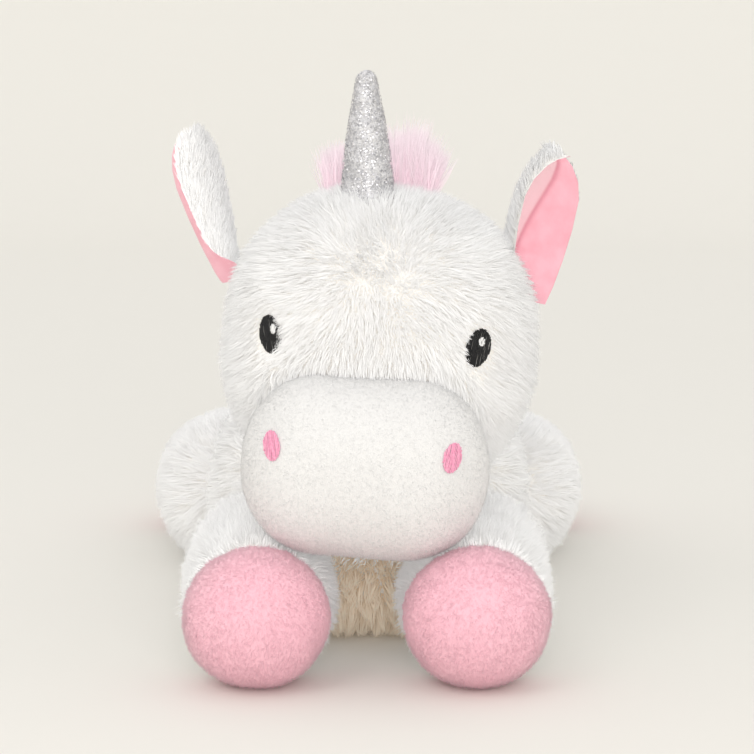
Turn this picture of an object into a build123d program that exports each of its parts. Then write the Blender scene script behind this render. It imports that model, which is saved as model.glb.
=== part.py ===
"""A stuffed unicorn that lies on its belly: fore hooves forward, muzzle on the hooves, hind legs out behind.

Millimetres. +Z is up, the nose points along -Y, and the toy's own left is +X. The origin is on the
floor under the middle of the toy. Each limb turns on a ball of its own stuffing, which sits in a
matching pocket of the trunk, so a sewn seam is modelled as a ball and socket with a little slack.
"""

from build123d import *
import math
import os

# Fabric and clearances
COVER = 2.5  # plush backing with its pile pressed flat
VELBOA = 1.5  # short-pile fabric of the muzzle, hooves and ear linings
STITCH = 0.7  # thickness of satin-stitch embroidery
SLACK = 0.6  # free gap where two moving pieces meet

# Trunk
TRUNK_LOW, TRUNK_HIGH, TRUNK_ROUND = (-66, -28, 0), (66, 122, 86), 40
CHEST_LOW, CHEST_HIGH, CHEST_ROUND = (-44, -80, 0), (44, 0, 57), 25
SIDE_SEAM_Z = 24  # where the belly panel is sewn to the back panel
POUCH_LOW, POUCH_HIGH, POUCH_ROUND = (-20, 0, 8), (20, 92, 40), 14
POUCH_LINER = 0.8

# Neck
NECK = Vector(0, -20, 85)
NECK_RADIUS = 32

# Head, in its own straight frame, and how it is turned and tilted on the neck
HEAD_LOW, HEAD_HIGH, HEAD_ROUND = (-59, -116, 64), (59, -8, 181), 52
MUZZLE_LOW, MUZZLE_HIGH, MUZZLE_ROUND = (-48, -152, 52.5), (48, -84, 116), 31
HEAD_SHIFT, HEAD_YAW, HEAD_ROLL = 5.5, -3.5, 3.3
EYE_X, EYE_Z, EYE_HALF_WIDTH, EYE_HALF_HEIGHT, EYE_LEAN = 41, 128.5, 5.6, 8.0, 9
GLINT_HALF_WIDTH, GLINT_HALF_HEIGHT, GLINT_RISE = 1.1, 1.8, 2.6
NOSTRIL_X, NOSTRIL_Z, NOSTRIL_HALF_WIDTH, NOSTRIL_HALF_HEIGHT, NOSTRIL_LEAN = 34.3, 92, 3.4, 5.4, 8

# Horn: a slim cone with a rounded tip, sewn a little to one side of the crown
HORN_BASE = Vector(-7.3, -68, 174)
HORN_RADIUS, HORN_TIP_RADIUS, HORN_LENGTH, HORN_LEAN, HORN_FABRIC = 11.5, 4.2, 59, -4, 0.9

# Hair
FORELOCK_LOW, FORELOCK_HIGH, FORELOCK_ROUND = (-31, -54, 166), (21, -32, 207), 10.5
MANE_HALF_WIDTH, MANE_RISE, MANE_FRONT_Y, MANE_END_Z = 11, 12, -31.5, 119
BACK_MANE_RISE, BACK_MANE_START_Y, BACK_MANE_END_Y, BACK_MANE_LOW_Z = 8, 14, 62, 70

# Ears: a cupped leaf, its lining inside the cup
EAR_HALF_WIDTH, EAR_LENGTH, EAR_FOOT, EAR_CUP_RADIUS, EAR_BACK, EAR_ROLL = 17, 62, 6, 22, 3.2, 4
EAR_STAND_OFF = 3.2  # the root roll stands this far off the skin, down in the pile
EAR_ROOT_Z, EAR_ROOT_Y = 141, -54

# Legs: (centre of the root ball, its radius, centre of the hoof ball, its radius, sleeve length behind it)
FORELEG = (Vector(46, -42, 25), 25, Vector(42.5, -139, 26), 26)
HIND_LEG = (Vector(61, 68, 33), 33, Vector(76, 140, 25), 25)
HOOF_SLEEVE = 8

# Tail
TAIL_ROOT, TAIL_ROOT_RADIUS, TAIL_TIP, TAIL_TIP_RADIUS = Vector(0, 122, 58), 9, Vector(0, 150, 18), 13
TAIL_ROOM = 3.5  # extra room round the tail, which wags beside the rump


def rounded_block(low, high, radius, grow=0.0):
    """A block between two corners with every edge rounded, made larger all round by grow."""
    size = [b - a + 2 * grow for a, b in zip(low, high)]
    middle = [(a + b) / 2 for a, b in zip(low, high)]
    return Pos(*middle) * fillet(Box(*size).edges(), radius + grow)


def slab(low, high):
    """A plain block between two corners."""
    return Pos(*[(a + b) / 2 for a, b in zip(low, high)]) * Box(*[b - a for a, b in zip(low, high)])


def ball(centre, radius):
    return Pos(*centre) * Sphere(radius)


def limb(root, root_radius, tip, tip_radius, grow=0.0):
    """Two balls and the cone that is tangent to both, turned about the line between their centres."""
    length = (tip - root).length
    slope = math.asin((root_radius - tip_radius) / length)
    r1, r2 = root_radius + grow, tip_radius + grow

    def on(radius, height, angle):
        return (radius * math.cos(angle), 0, height + radius * math.sin(angle))

    outline = Curve() + [
        ThreePointArc((0, 0, -r1), on(r1, 0, (slope - math.pi / 2) / 2), on(r1, 0, slope)),
        Line(on(r1, 0, slope), on(r2, length, slope)),
        ThreePointArc(on(r2, length, slope), on(r2, length, (slope + math.pi / 2) / 2), (0, 0, length + r2)),
        Line((0, 0, length + r2), (0, 0, -r1)),
    ]
    turned = revolve(make_face(outline), Axis.Z, 360)
    return Plane(origin=root, z_dir=tip - root).location * turned


def mirrored(solid):
    """The same piece on the toy's other side."""
    return mirror(solid, Plane.YZ)


def patch(x, z, half_width, half_height, lean, front_y):
    """An elliptical prism that runs back from in front of the face, for cutting embroidery from a skin."""
    front = Plane(origin=(x, front_y, z), x_dir=(1, 0, 0), z_dir=(0, -1, 0))
    return extrude(front * Rot(0, 0, lean) * Ellipse(half_width, half_height), -45)


def trunk_room(grow):
    """What the trunk leaves free: the neck ball, the legs and the root of the tail, all grown."""
    tail = limb(TAIL_ROOT, TAIL_ROOT_RADIUS, TAIL_TIP, TAIL_TIP_RADIUS, grow + TAIL_ROOM)
    room = [ball(NECK, NECK_RADIUS + grow), tail]
    for leg in (FORELEG, HIND_LEG):
        room += [limb(*leg, grow), mirrored(limb(*leg, grow))]
    return room


def trunk_parts():
    """Back and belly panels sewn at the side seam, the stuffing, and a grain pouch in a cotton liner."""

    def body(grow, free):
        block = rounded_block(TRUNK_LOW, TRUNK_HIGH, TRUNK_ROUND, grow)
        block += rounded_block(CHEST_LOW, CHEST_HIGH, CHEST_ROUND, grow)
        for solid in trunk_room(free):
            block -= solid
        return block

    outer, inner = body(0, SLACK), body(-COVER, SLACK + COVER)
    shell = outer - inner
    lower = slab((-200, -200, -1), (200, 200, SIDE_SEAM_Z))
    grain = rounded_block(POUCH_LOW, POUCH_HIGH, POUCH_ROUND)
    pouch = rounded_block(POUCH_LOW, POUCH_HIGH, POUCH_ROUND, POUCH_LINER)
    ridge = rounded_block(TRUNK_LOW, TRUNK_HIGH, TRUNK_ROUND, BACK_MANE_RISE) - rounded_block(
        TRUNK_LOW, TRUNK_HIGH, TRUNK_ROUND
    )
    strip = slab(
        (-MANE_HALF_WIDTH, BACK_MANE_START_Y, BACK_MANE_LOW_Z), (MANE_HALF_WIDTH, BACK_MANE_END_Y, 200)
    )
    return {
        "back_panel": shell - lower,
        "belly_panel": shell & lower,
        "trunk_filling": inner - pouch,
        "pouch_liner": pouch - grain,
        "pouch_grain": grain,
        "back_mane": ridge & strip,
    }


def neck_parts():
    """The stuffed neck: a ball that the head nods and turns on."""
    stuffing = ball(NECK, NECK_RADIUS - COVER)
    return {"neck_cover": ball(NECK, NECK_RADIUS) - stuffing, "neck_filling": stuffing}


def horn_solid(inset):
    """A slightly bulging cone with a ball for its tip, its outside taken in by inset."""
    radius, tip = HORN_RADIUS - inset, HORN_TIP_RADIUS - inset
    shoulder = HORN_LENGTH - HORN_TIP_RADIUS
    outline = Curve() + [
        Line((0, 0, 0), (radius, 0, 0)),
        ThreePointArc((radius, 0, 0), ((radius + tip) / 2 + 1.2, 0, shoulder / 2), (tip, 0, shoulder)),
        Line((tip, 0, shoulder), (0, 0, shoulder)),
        Line((0, 0, shoulder), (0, 0, 0)),
    ]
    cone = revolve(make_face(outline), Axis.Z, 360) + Pos(0, 0, shoulder) * Sphere(tip)
    return Pos(*HORN_BASE) * Rot(0, HORN_LEAN, 0) * cone


def head_pose():
    """Where the head sits on the neck: shifted a little, turned and tilted."""
    return Pos(*NECK) * Pos(HEAD_SHIFT, 0, 0) * Rot(0, 0, HEAD_YAW) * Rot(0, HEAD_ROLL, 0) * Pos(*-NECK)


def head_parts():
    """Everything sewn to the head except the ears, in the place it has on the neck."""
    head_out = rounded_block(HEAD_LOW, HEAD_HIGH, HEAD_ROUND)
    head_in = rounded_block(HEAD_LOW, HEAD_HIGH, HEAD_ROUND, -COVER)
    muzzle_out = rounded_block(MUZZLE_LOW, MUZZLE_HIGH, MUZZLE_ROUND)
    muzzle_in = rounded_block(MUZZLE_LOW, MUZZLE_HIGH, MUZZLE_ROUND, -VELBOA)
    pose = head_pose()
    parts = {
        "head_cover": head_out - head_in - muzzle_out,
        "muzzle_cover": muzzle_out - muzzle_in - head_in,
        "head_filling": head_in + muzzle_in,
        "horn_cover": horn_solid(0) - horn_solid(HORN_FABRIC) - head_out,
        "horn_filling": horn_solid(HORN_FABRIC) - head_out,
        "forelock": rounded_block(FORELOCK_LOW, FORELOCK_HIGH, FORELOCK_ROUND) - head_out,
    }
    ridge = rounded_block(HEAD_LOW, HEAD_HIGH, HEAD_ROUND, MANE_RISE) - head_out
    parts["mane"] = ridge & slab(
        (-MANE_HALF_WIDTH, MANE_FRONT_Y, MANE_END_Z), (MANE_HALF_WIDTH, 100, 300)
    )
    thread = [rounded_block(HEAD_LOW, HEAD_HIGH, HEAD_ROUND, STITCH * n) for n in (0, 1, 2)]
    lip = rounded_block(MUZZLE_LOW, MUZZLE_HIGH, MUZZLE_ROUND, STITCH)
    for side, sign in (("left", 1), ("right", -1)):
        front = HEAD_LOW[1] - 5
        eye = patch(sign * EYE_X, EYE_Z, EYE_HALF_WIDTH, EYE_HALF_HEIGHT, sign * EYE_LEAN, front)
        glint = patch(sign * EYE_X, EYE_Z + GLINT_RISE, GLINT_HALF_WIDTH, GLINT_HALF_HEIGHT, 0, front)
        nostril = patch(
            sign * NOSTRIL_X,
            NOSTRIL_Z,
            NOSTRIL_HALF_WIDTH,
            NOSTRIL_HALF_HEIGHT,
            sign * NOSTRIL_LEAN,
            MUZZLE_LOW[1] - 5,
        )
        parts[side + "_eye"] = (thread[1] - thread[0]) & eye
        parts[side + "_eye_glint"] = (thread[2] - thread[1]) & glint
        parts[side + "_nostril"] = (lip - muzzle_out) & nostril
    socket, inner_socket = ball(NECK, NECK_RADIUS + SLACK), ball(NECK, NECK_RADIUS + SLACK + COVER)
    placed = {name: pose * solid for name, solid in parts.items()}
    wall = (pose * head_in) & (inner_socket - socket)
    placed["head_filling"] = placed["head_filling"] - inner_socket
    placed["head_cover"] = (placed["head_cover"] - socket) + wall
    return placed


def ear_frame(sign):
    """The plane an ear is built in: X along its root, Z from root to tip, Y the way the lining faces."""
    if sign > 0:
        along, facing = Vector(0.12, 0.0, 0.99), Vector(0.60, -0.80, -0.1)
    else:
        along, facing = Vector(-0.33, -0.05, 0.94), Vector(-0.88, 0.42, -0.2)
    corner = HEAD_HIGH[2] - HEAD_ROUND
    reach = HEAD_HIGH[0] - HEAD_ROUND + math.sqrt(HEAD_ROUND**2 - (EAR_ROOT_Z - corner) ** 2)
    outward = Vector(reach - HEAD_HIGH[0] + HEAD_ROUND, 0, EAR_ROOT_Z - corner).normalized()
    root = Vector(reach, EAR_ROOT_Y, EAR_ROOT_Z) + outward * (EAR_ROLL + EAR_STAND_OFF)
    root = Vector(sign * root.X, root.Y, root.Z)
    along = along.normalized()
    across = facing.cross(along).normalized()
    return Plane(origin=root, x_dir=across, z_dir=along)


def ear_parts(sign):
    """A white back layer with a rolled root, and a pink lining, both bent round the same cup."""
    w, foot, tip = EAR_HALF_WIDTH, EAR_FOOT, EAR_LENGTH
    edge = [(foot, 0, 0), (w * 0.86, 0, tip * 0.28), (w, 0, tip * 0.5)]
    edge += [(w * 0.66, 0, tip * 0.82), (0, 0, tip)]
    other = [(-x, y, z) for x, y, z in reversed(edge)]
    leaf = make_face(Curve() + [Spline(edge), Spline(other), Line(other[-1], edge[0])])
    block = extrude(leaf, amount=30, dir=(0, 1, 0), both=True)
    axis = Pos(0, EAR_CUP_RADIUS, EAR_LENGTH / 2)
    tall = 2 * EAR_LENGTH
    outer = axis * Cylinder(EAR_CUP_RADIUS + EAR_BACK / 2, tall)
    middle = axis * Cylinder(EAR_CUP_RADIUS - EAR_BACK / 2, tall)
    inner = axis * Cylinder(EAR_CUP_RADIUS - EAR_BACK / 2 - VELBOA, tall)
    near = slab((-60, -30, -10), (60, EAR_CUP_RADIUS, 2 * EAR_LENGTH))
    roll = Rot(0, 90, 0) * Cylinder(EAR_ROLL, 2 * EAR_FOOT)
    place = head_pose() * ear_frame(sign).location
    back = ((outer - middle) & block & near) + roll
    lining = ((middle - inner) & block & near) - roll
    return place * back, place * lining


def leg_parts(name, root, root_radius, tip, tip_radius):
    """A plush sleeve, the pink cap of the hoof sewn to its end, and one stuffing for both."""
    outer = limb(root, root_radius, tip, tip_radius)
    inner = limb(root, root_radius, tip, tip_radius, -COVER)
    length = (tip - root).length
    beyond = Plane(origin=root, z_dir=tip - root).location * (
        Pos(0, 0, length - HOOF_SLEEVE + 100) * Box(200, 200, 200)
    )
    shell = outer - inner
    return {name + "_cover": shell - beyond, name + "_hoof": shell & beyond, name + "_filling": inner}


def all_parts():
    parts = trunk_parts() | neck_parts() | head_parts()
    for side, sign in (("left", 1), ("right", -1)):
        parts[side + "_ear_back"], parts[side + "_ear_lining"] = ear_parts(sign)
        for name, leg in (("foreleg", FORELEG), ("hind_leg", HIND_LEG)):
            for piece, solid in leg_parts(side + "_" + name, *leg).items():
                parts[piece] = solid if sign > 0 else mirrored(solid)
    parts["tail"] = limb(TAIL_ROOT, TAIL_ROOT_RADIUS, TAIL_TIP, TAIL_TIP_RADIUS)
    return parts


os.makedirs("parts", exist_ok=True)
for name, solid in all_parts().items():
    export_step(solid, f"parts/{name}.step")
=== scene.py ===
import math

import bmesh
import bpy
import numpy as np
from mathutils import Matrix, Vector, kdtree


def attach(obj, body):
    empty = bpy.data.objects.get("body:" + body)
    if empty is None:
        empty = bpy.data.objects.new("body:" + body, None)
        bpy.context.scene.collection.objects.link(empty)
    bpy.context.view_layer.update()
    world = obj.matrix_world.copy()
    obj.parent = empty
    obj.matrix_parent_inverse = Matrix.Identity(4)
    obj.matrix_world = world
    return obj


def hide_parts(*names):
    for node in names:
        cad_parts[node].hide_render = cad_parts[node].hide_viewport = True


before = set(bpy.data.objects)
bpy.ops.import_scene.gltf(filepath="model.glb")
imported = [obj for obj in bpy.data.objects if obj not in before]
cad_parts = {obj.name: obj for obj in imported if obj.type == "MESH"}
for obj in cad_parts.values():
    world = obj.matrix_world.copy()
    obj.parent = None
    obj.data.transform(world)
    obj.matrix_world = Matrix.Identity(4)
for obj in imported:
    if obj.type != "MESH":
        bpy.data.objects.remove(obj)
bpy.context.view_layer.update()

# A plush unicorn lying on its belly, sewn together piece by piece round its frame. From the trunk on,
# lengths are millimetres in the toy's own frame: +Z up, the nose towards -Y. The studio is in metres.


# Studio
# A round paper sweep in warm white, two large soft lamps, one high on the left and one low in front, and
# the light of a pale room. The camera looks slightly down at the face from a metre away.

SWEEP_FLAT, SWEEP_BEND, SWEEP_HEIGHT = 1.6, 0.6, 0.8
ROOM_COLOUR, ROOM_STRENGTH = (1.0, 0.993, 0.978), 0.94
CAMERA_DISTANCE, CAMERA_ELEVATION, CAMERA_LENS = 1.0, 9.0, 108.5
CAMERA_TARGET, SENSOR_WIDTH = Vector((0.004, 0, 0.0977)), 36.0
PAPER_NEAR, PAPER_FAR = (0.825, 0.808, 0.765, 1), (0.905, 0.888, 0.845, 1)
LAMP_SIZE, KEY_POWER, FRONT_POWER = 0.9, 3.0, 6.0


class Wire:
    """An output of a shader node. Sums and products of wires add the Math nodes that they need."""

    def __init__(self, tree, socket=None):
        self.tree, self.socket = tree, socket

    def node(self, kind, settings, sockets, output=0):
        """Adds any node: its settings first, then what its sockets hold or are joined to."""
        made = self.tree.nodes.new(kind)
        for name, value in settings.items():
            setattr(made, name, value)
        for name, value in sockets.items():
            if isinstance(value, Wire):
                self.tree.links.new(value.socket, made.inputs[name])
            else:
                made.inputs[name].default_value = value
        return Wire(self.tree, made.outputs[output])

    def maths(self, operation, a, b):
        return self.node("ShaderNodeMath", {"operation": operation}, {0: a, 1: b})

    def __add__(self, other):
        return self.maths("ADD", self, other)

    def __sub__(self, other):
        return self.maths("SUBTRACT", self, other)

    def __rsub__(self, other):
        return self.maths("SUBTRACT", other, self)

    def __mul__(self, other):
        return self.maths("MULTIPLY", self, other)

    def __pow__(self, other):
        return self.maths("POWER", self, other)

    __radd__, __rmul__ = __add__, __mul__

    def between(self, low, high):
        """This value as a share of the way from low to high, kept from 0 to 1."""
        sockets = {"Value": self, "From Min": low, "From Max": high}
        return self.node("ShaderNodeMapRange", {}, sockets)

    def blend(self, first, second):
        """The first colour where this value is 0 and the second where it is 1."""
        return self.node("ShaderNodeMix", {"data_type": "RGBA"}, {0: self, 6: first, 7: second}, 2)

    def noise(self, scale, detail=2.0):
        """Soft cloudy values about 1/scale metres across, fixed to the piece."""
        place = self.node("ShaderNodeTexCoord", {}, {}, "Object")
        return self.node("ShaderNodeTexNoise", {}, {"Vector": place, "Scale": scale, "Detail": detail})

    def attribute(self, name):
        return self.node("ShaderNodeAttribute", {"attribute_name": name}, {}, "Fac")

    def feed(self, shader, socket):
        self.tree.links.new(self.socket, shader.inputs[socket])

    def bump(self, shader, height, distance):
        """Raises the surface by the height, whose full range stands for the distance in metres."""
        sockets = {"Height": height, "Distance": distance, "Strength": 1.0}
        self.node("ShaderNodeBump", {}, sockets).feed(shader, "Normal")


def finish(name, **values):
    """A new material with the given values set on its shader: (material, wire, shader)."""
    material = bpy.data.materials.new(name)
    material.use_nodes = True
    shader = material.node_tree.nodes["Principled BSDF"]
    for socket, value in values.items():
        shader.inputs[socket.replace("_", " ")].default_value = value
    return material, Wire(material.node_tree), shader


def mesh_piece(name, points, faces, material, attributes=None):
    """An object from points in millimetres. faces is a list of arrays, each of faces with as many corners."""
    mesh = bpy.data.meshes.new(name)
    mesh.vertices.add(len(points))
    mesh.vertices.foreach_set("co", (np.asarray(points) * 0.001).astype(np.float32).ravel())
    corners = np.concatenate([np.asarray(f).ravel() for f in faces])
    sizes = np.concatenate([np.full(len(f), np.asarray(f).shape[1]) for f in faces])
    mesh.loops.add(len(corners))
    mesh.loops.foreach_set("vertex_index", corners.astype(np.int32))
    mesh.polygons.add(len(sizes))
    mesh.polygons.foreach_set("loop_start", np.concatenate([[0], np.cumsum(sizes)[:-1]]).astype(np.int32))
    mesh.polygons.foreach_set("use_smooth", np.ones(len(sizes), bool))
    mesh.update(calc_edges=True)
    mesh.validate()
    for key, values in (attributes or {}).items():
        layer = mesh.attributes.new(key, "FLOAT", "POINT")
        layer.data.foreach_set("value", np.asarray(values, np.float32))
    mesh.materials.append(material)
    piece = bpy.data.objects.new(name, mesh)
    bpy.context.scene.collection.objects.link(piece)
    return piece


def turned_sheet(name, outline, steps, material):
    """A surface turned round the vertical from an outline of (radius, height) points."""
    outline = np.array(outline)
    angles = np.linspace(0, 2 * np.pi, steps, endpoint=False)
    x = outline[None, :, 0] * np.cos(angles)[:, None]
    y = outline[None, :, 0] * np.sin(angles)[:, None]
    z = np.broadcast_to(outline[None, :, 1], x.shape)
    rows = np.arange(steps)[:, None] * len(outline)
    after = (np.arange(steps)[:, None] + 1) % steps * len(outline)
    column = np.arange(len(outline) - 1)[None, :]
    quads = np.stack([rows + column, after + column, after + column + 1, rows + column + 1], -1)
    return mesh_piece(name, np.stack([x, y, z], -1).reshape(-1, 3), [quads.reshape(-1, 4)], material)


paper, wire, shader = finish("sweep_paper", Roughness=0.9, Specular_IOR_Level=0.1)
place = wire.node("ShaderNodeTexCoord", {}, {}, "Object")
from_middle = wire.node("ShaderNodeVectorMath", {"operation": "LENGTH"}, {0: place}, "Value")
tone = from_middle.between(0.3, 2.3) + wire.noise(14.0) * 0.05
tone.blend(PAPER_NEAR, PAPER_FAR).feed(shader, "Base Color")
bend = np.linspace(0, np.pi / 2, 24)
profile = [(r, 0) for r in np.linspace(0.001, SWEEP_FLAT, 12)]
profile += [(SWEEP_FLAT + SWEEP_BEND * math.sin(a), SWEEP_BEND * (1 - math.cos(a))) for a in bend[1:]]
profile += [(SWEEP_FLAT + SWEEP_BEND, SWEEP_HEIGHT)]
sweep = turned_sheet("paper_sweep", np.array(profile) * 1000, 96, paper)

world = bpy.data.worlds.new("room")
bpy.context.scene.world = world
world.use_nodes = True
room = world.node_tree.nodes["Background"]
room.inputs["Color"].default_value = (*ROOM_COLOUR, 1)
room.inputs["Strength"].default_value = ROOM_STRENGTH


def soft_lamp(name, place, aim, size, power, colour):
    lamp = bpy.data.lights.new(name, "AREA")
    lamp.shape, lamp.size, lamp.energy, lamp.color = "DISK", size, power, colour
    holder = bpy.data.objects.new(name, lamp)
    holder.location = place
    holder.rotation_euler = (Vector(aim) - Vector(place)).to_track_quat("-Z", "Y").to_euler()
    holder.visible_camera = False
    bpy.context.scene.collection.objects.link(holder)


soft_lamp("key_lamp", (-0.8, -1.0, 1.35), (0, -0.05, 0.08), LAMP_SIZE, KEY_POWER, (1.0, 0.985, 0.96))
soft_lamp("front_lamp", (0.1, -1.5, 0.48), (0, -0.05, 0.06), LAMP_SIZE, FRONT_POWER, (1.0, 0.985, 0.97))

lens = bpy.data.cameras.new("camera")
lens.lens, lens.sensor_width = CAMERA_LENS, SENSOR_WIDTH
camera = bpy.data.objects.new("camera", lens)
tilt = math.radians(CAMERA_ELEVATION)
camera.location = CAMERA_TARGET + CAMERA_DISTANCE * Vector((0, -math.cos(tilt), math.sin(tilt)))
camera.rotation_euler = (CAMERA_TARGET - camera.location).to_track_quat("-Z", "Y").to_euler()
bpy.context.scene.collection.objects.link(camera)
bpy.context.scene.camera = camera
bpy.context.scene.view_settings.view_transform = "Standard"


# Trunk
# A sack of long-pile plush in two panels, back and belly, sewn together low on the flanks and stuffed
# with fibre. The legs, neck and tail are sewn into it, and it gives way round the legs and the neck.

TRUNK_LOW, TRUNK_HIGH, TRUNK_ROUND = (-66, -28, 0), (66, 122, 86), 40
CHEST_LOW, CHEST_HIGH, CHEST_ROUND = (-44, -80, 0), (44, 0, 57), 25
NECK, NECK_RADIUS = np.array((0, -20, 85)), 32
FORELEG = (np.array((46, -42, 25)), 25, np.array((42.5, -139, 26)), 26)
HIND_LEG = (np.array((61, 68, 33)), 33, np.array((76, 140, 25)), 25)
MIRROR = np.array((-1, 1, 1))
TRUNK_PILE, PILE_WIDTH, HAIRS_PER_PIECE = 9.0, 0.55, 21000
# The pile's root colour is painted shade: darker and warmer deep in the pile, where light hardly reaches.
PILE_TIP, PILE_ROOT_SHADE = (0.985, 0.988, 0.995, 1), (0.965, 0.945, 0.92, 1)
PILE_CURL, CHEST_CURL = 0.16, 0.34
SHADE_FRONT_Y, SHADE_TOP_Z, SHADE_FADE = -48, 46, 14  # the low chest's pile is painted shade, warm and darker, and fades out over the fade
SEAM_GAP = 0.6  # between pieces that move against each other
SKIN_ABOVE_FLOOR, HAIR_ABOVE_FLOOR = 0.1, 0.2
HAIR_SIDES = (0, 2.094, 4.189)  # thirds of a turn
BAKE_COLUMNS = 128


def block(p, low, high, radius):
    """How far each point is outside a block with rounded edges; negative inside."""
    low, high = np.array(low, float), np.array(high, float)
    q = np.abs(p - (low + high) / 2) - (high - low) / 2 + radius
    return np.linalg.norm(np.maximum(q, 0), axis=1) + np.minimum(q.max(axis=1), 0) - radius


def limb(p, a, ra, b, rb):
    """The same for two balls and the cone between them."""
    ba = b - a
    length = np.linalg.norm(ba)
    axis = ba / length
    slope = (ra - rb) / length
    along = (p - a) @ axis
    out = np.linalg.norm(p - a - along[:, None] * axis, axis=1)
    rise = math.sqrt(1 - slope * slope)
    k = along * rise - out * slope
    side = out * rise + along * slope - ra
    low_end = np.linalg.norm(p - a, axis=1) - ra
    high_end = np.linalg.norm(p - b, axis=1) - rb
    return np.where(k < 0, low_end, np.where(k > length * rise, high_end, side))


def joined(a, b, soft):
    """Two shapes merged with a fillet of about the soft size."""
    h = np.clip(0.5 + 0.5 * (b - a) / soft, 0, 1)
    return b * (1 - h) + a * h - soft * h * (1 - h)


def common(a, b, soft):
    """What two shapes share, its edge rounded over."""
    return -joined(-a, -b, soft)


def ripple(p, size, seed):
    """Smooth lumps about that size, from -1 to 1."""
    rng = np.random.default_rng(seed)
    total = np.zeros(len(p))
    for _ in range(6):
        direction = rng.normal(size=3)
        direction /= np.linalg.norm(direction)
        total += np.sin(p @ direction * (2 * np.pi / size / rng.uniform(0.7, 1.5)) + rng.uniform(0, 6.28))
    return total / 3.5


def ball_of_faces(detail):
    """The directions and the triangles of an even ball."""
    ball = bmesh.new()
    bmesh.ops.create_icosphere(ball, subdivisions=detail, radius=1.0)
    directions = np.array([v.co[:] for v in ball.verts])
    faces = np.array([[v.index for v in f.verts] for f in ball.faces])
    ball.free()
    return directions, faces


def reach_out(shape, centre, directions, limit):
    """How far each direction runs from the centre before it leaves the shape."""
    distance = np.zeros(len(directions))
    for _ in range(90):
        step = -shape(centre + directions * distance[:, None])
        distance = np.clip(distance + step * 0.9, 0, limit)
    return distance


def skin(name, shape, centre, reach, material, detail=6, lumps=0.5, lump_size=22, seed=1):
    """A closed skin of cloth over a stuffed shape, with the uneven lumps that stuffing leaves."""
    directions, faces = ball_of_faces(detail)
    directions = directions * np.array(reach, float)
    directions /= np.linalg.norm(directions, axis=1)[:, None]
    distance = reach_out(shape, np.array(centre, float), directions, 220)
    points = np.array(centre, float) + directions * distance[:, None]
    points += directions * (lumps * ripple(points, lump_size, seed))[:, None]
    points[:, 2] = np.maximum(points[:, 2], SKIN_ABOVE_FLOOR)
    return mesh_piece(name, points, [faces], material)


def places_on(piece, per_mm2, seed, keep=None):
    """Points scattered evenly over a piece, in millimetres, and the way its surface faces there."""
    mesh = piece.data
    co = np.zeros(len(mesh.vertices) * 3, np.float32)
    mesh.vertices.foreach_get("co", co)
    normals = np.zeros(len(mesh.vertices) * 3, np.float32)
    mesh.vertices.foreach_get("normal", normals)
    co, normals = co.reshape(-1, 3).astype(float) * 1000, normals.reshape(-1, 3).astype(float)
    mesh.calc_loop_triangles()
    tri = np.zeros(len(mesh.loop_triangles) * 3, np.int32)
    mesh.loop_triangles.foreach_get("vertices", tri)
    tri = tri.reshape(-1, 3)
    first = co[tri[:, 0]]
    area = np.linalg.norm(np.cross(co[tri[:, 1]] - first, co[tri[:, 2]] - first), axis=1) / 2
    rng = np.random.default_rng(seed)
    chosen = rng.choice(len(tri), int(area.sum() * per_mm2), p=area / area.sum())
    u, v = rng.random(len(chosen)), rng.random(len(chosen))
    flip = u + v > 1
    u[flip], v[flip] = 1 - u[flip], 1 - v[flip]
    share = np.stack([1 - u - v, u, v], 1)[:, :, None]
    points = (co[tri[chosen]] * share).sum(1)
    facing = (normals[tri[chosen]] * share).sum(1)
    facing /= np.linalg.norm(facing, axis=1)[:, None]
    if keep is not None:
        wanted = keep(points)
        points, facing = points[wanted], facing[wanted]
    return points, facing


def unit(v):
    return v / np.maximum(np.linalg.norm(v, axis=1), 1e-9)[:, None]


def wander(points, size, seeds):
    """A slow drift of direction over a piece, so that its pile doesn't lie all one way."""
    return np.stack([ripple(points, size, seed) for seed in seeds], 1)


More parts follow.
